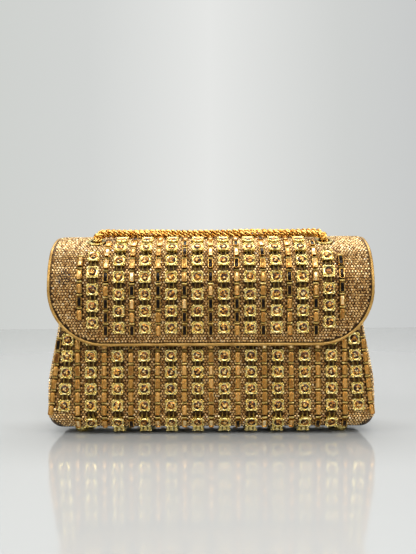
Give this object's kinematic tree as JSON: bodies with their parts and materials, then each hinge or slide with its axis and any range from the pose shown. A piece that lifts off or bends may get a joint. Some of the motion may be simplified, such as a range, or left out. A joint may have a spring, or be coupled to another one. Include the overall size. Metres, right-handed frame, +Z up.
{
  "type": "evening bag",
  "caption": "Stiff evening bag with a round-cornered front flap, crystal mesh cover, stone strips and a chain handle through two eyelets.",
  "frame": {"origin": "on the table, under the middle of the bag's outside width and depth", "axes": "+X to the bag's right as seen from its front, -Y out of its front, +Z up"},
  "size_m": [0.2228, 0.065, 0.1414],
  "materials": {
    "greyboard": "raw compressed board",
    "crystal_mesh": "gold net set with small champagne stones",
    "cup_settings": "gold-plated claw cups with round champagne stones",
    "bar_settings": "gold-plated channels with mirror-backed bar stones",
    "gold_leather": "metallic gold leatherette, satin",
    "black_leather": "black leatherette, fine grain",
    "satin_lining": "black satin",
    "piping_cord": "twisted cotton cord",
    "gold_metal": "gold plated, polished",
    "chain_metal": "gold plated, polished",
    "plated_steel": "nickel plated",
    "magnet": "sintered"
  },
  "bodies": {
    "case": {"back_bar_strips": "bar_settings", "back_board": "greyboard", "back_cup_strips": "cup_settings", "back_mesh": "crystal_mesh", "base_cover": "black_leather", "base_tray": "greyboard", "case_lining": "satin_lining", "feet": "gold_metal", "foot_washers": "plated_steel", "front_bar_strips": "bar_settings", "front_board": "greyboard", "front_cup_strips": "cup_settings", "front_facing": "gold_leather", "front_mesh": "crystal_mesh", "gusset_board_left": "greyboard", "gusset_board_right": "greyboard", "gusset_mesh_left": "crystal_mesh", "gusset_mesh_right": "crystal_mesh", "hinge_strip": "gold_leather", "hinge_strip_lining": "gold_leather", "mouth_binding": "gold_leather", "slip_pocket": "satin_lining", "snap_magnet": "magnet", "snap_socket": "gold_metal", "snap_socket_washer": "plated_steel"},
    "flap": {"chain_end_rings": "chain_metal", "chain_handle": "chain_metal", "chain_keeper_left": "gold_leather", "chain_keeper_right": "gold_leather", "eyelet_left": "gold_metal", "eyelet_right": "gold_metal", "eyelet_washers": "gold_metal", "flap_bar_strips": "bar_settings", "flap_board": "greyboard", "flap_cup_strips": "cup_settings", "flap_lining": "satin_lining", "flap_mesh": "crystal_mesh", "flap_piping": "gold_leather", "flap_piping_core": "piping_cord", "snap_stud": "gold_metal", "snap_stud_washer": "plated_steel"}
  },
  "joints": [
    {"name": "flap_hinge", "type": "hinge", "parent": "case", "child": "flap", "pos_m": [0, 0.02505, 0.12615], "axis": [-1, 0, 0], "range_deg": [0, 120], "deforming": ["hinge_strip", "hinge_strip_lining"]}
  ]
}
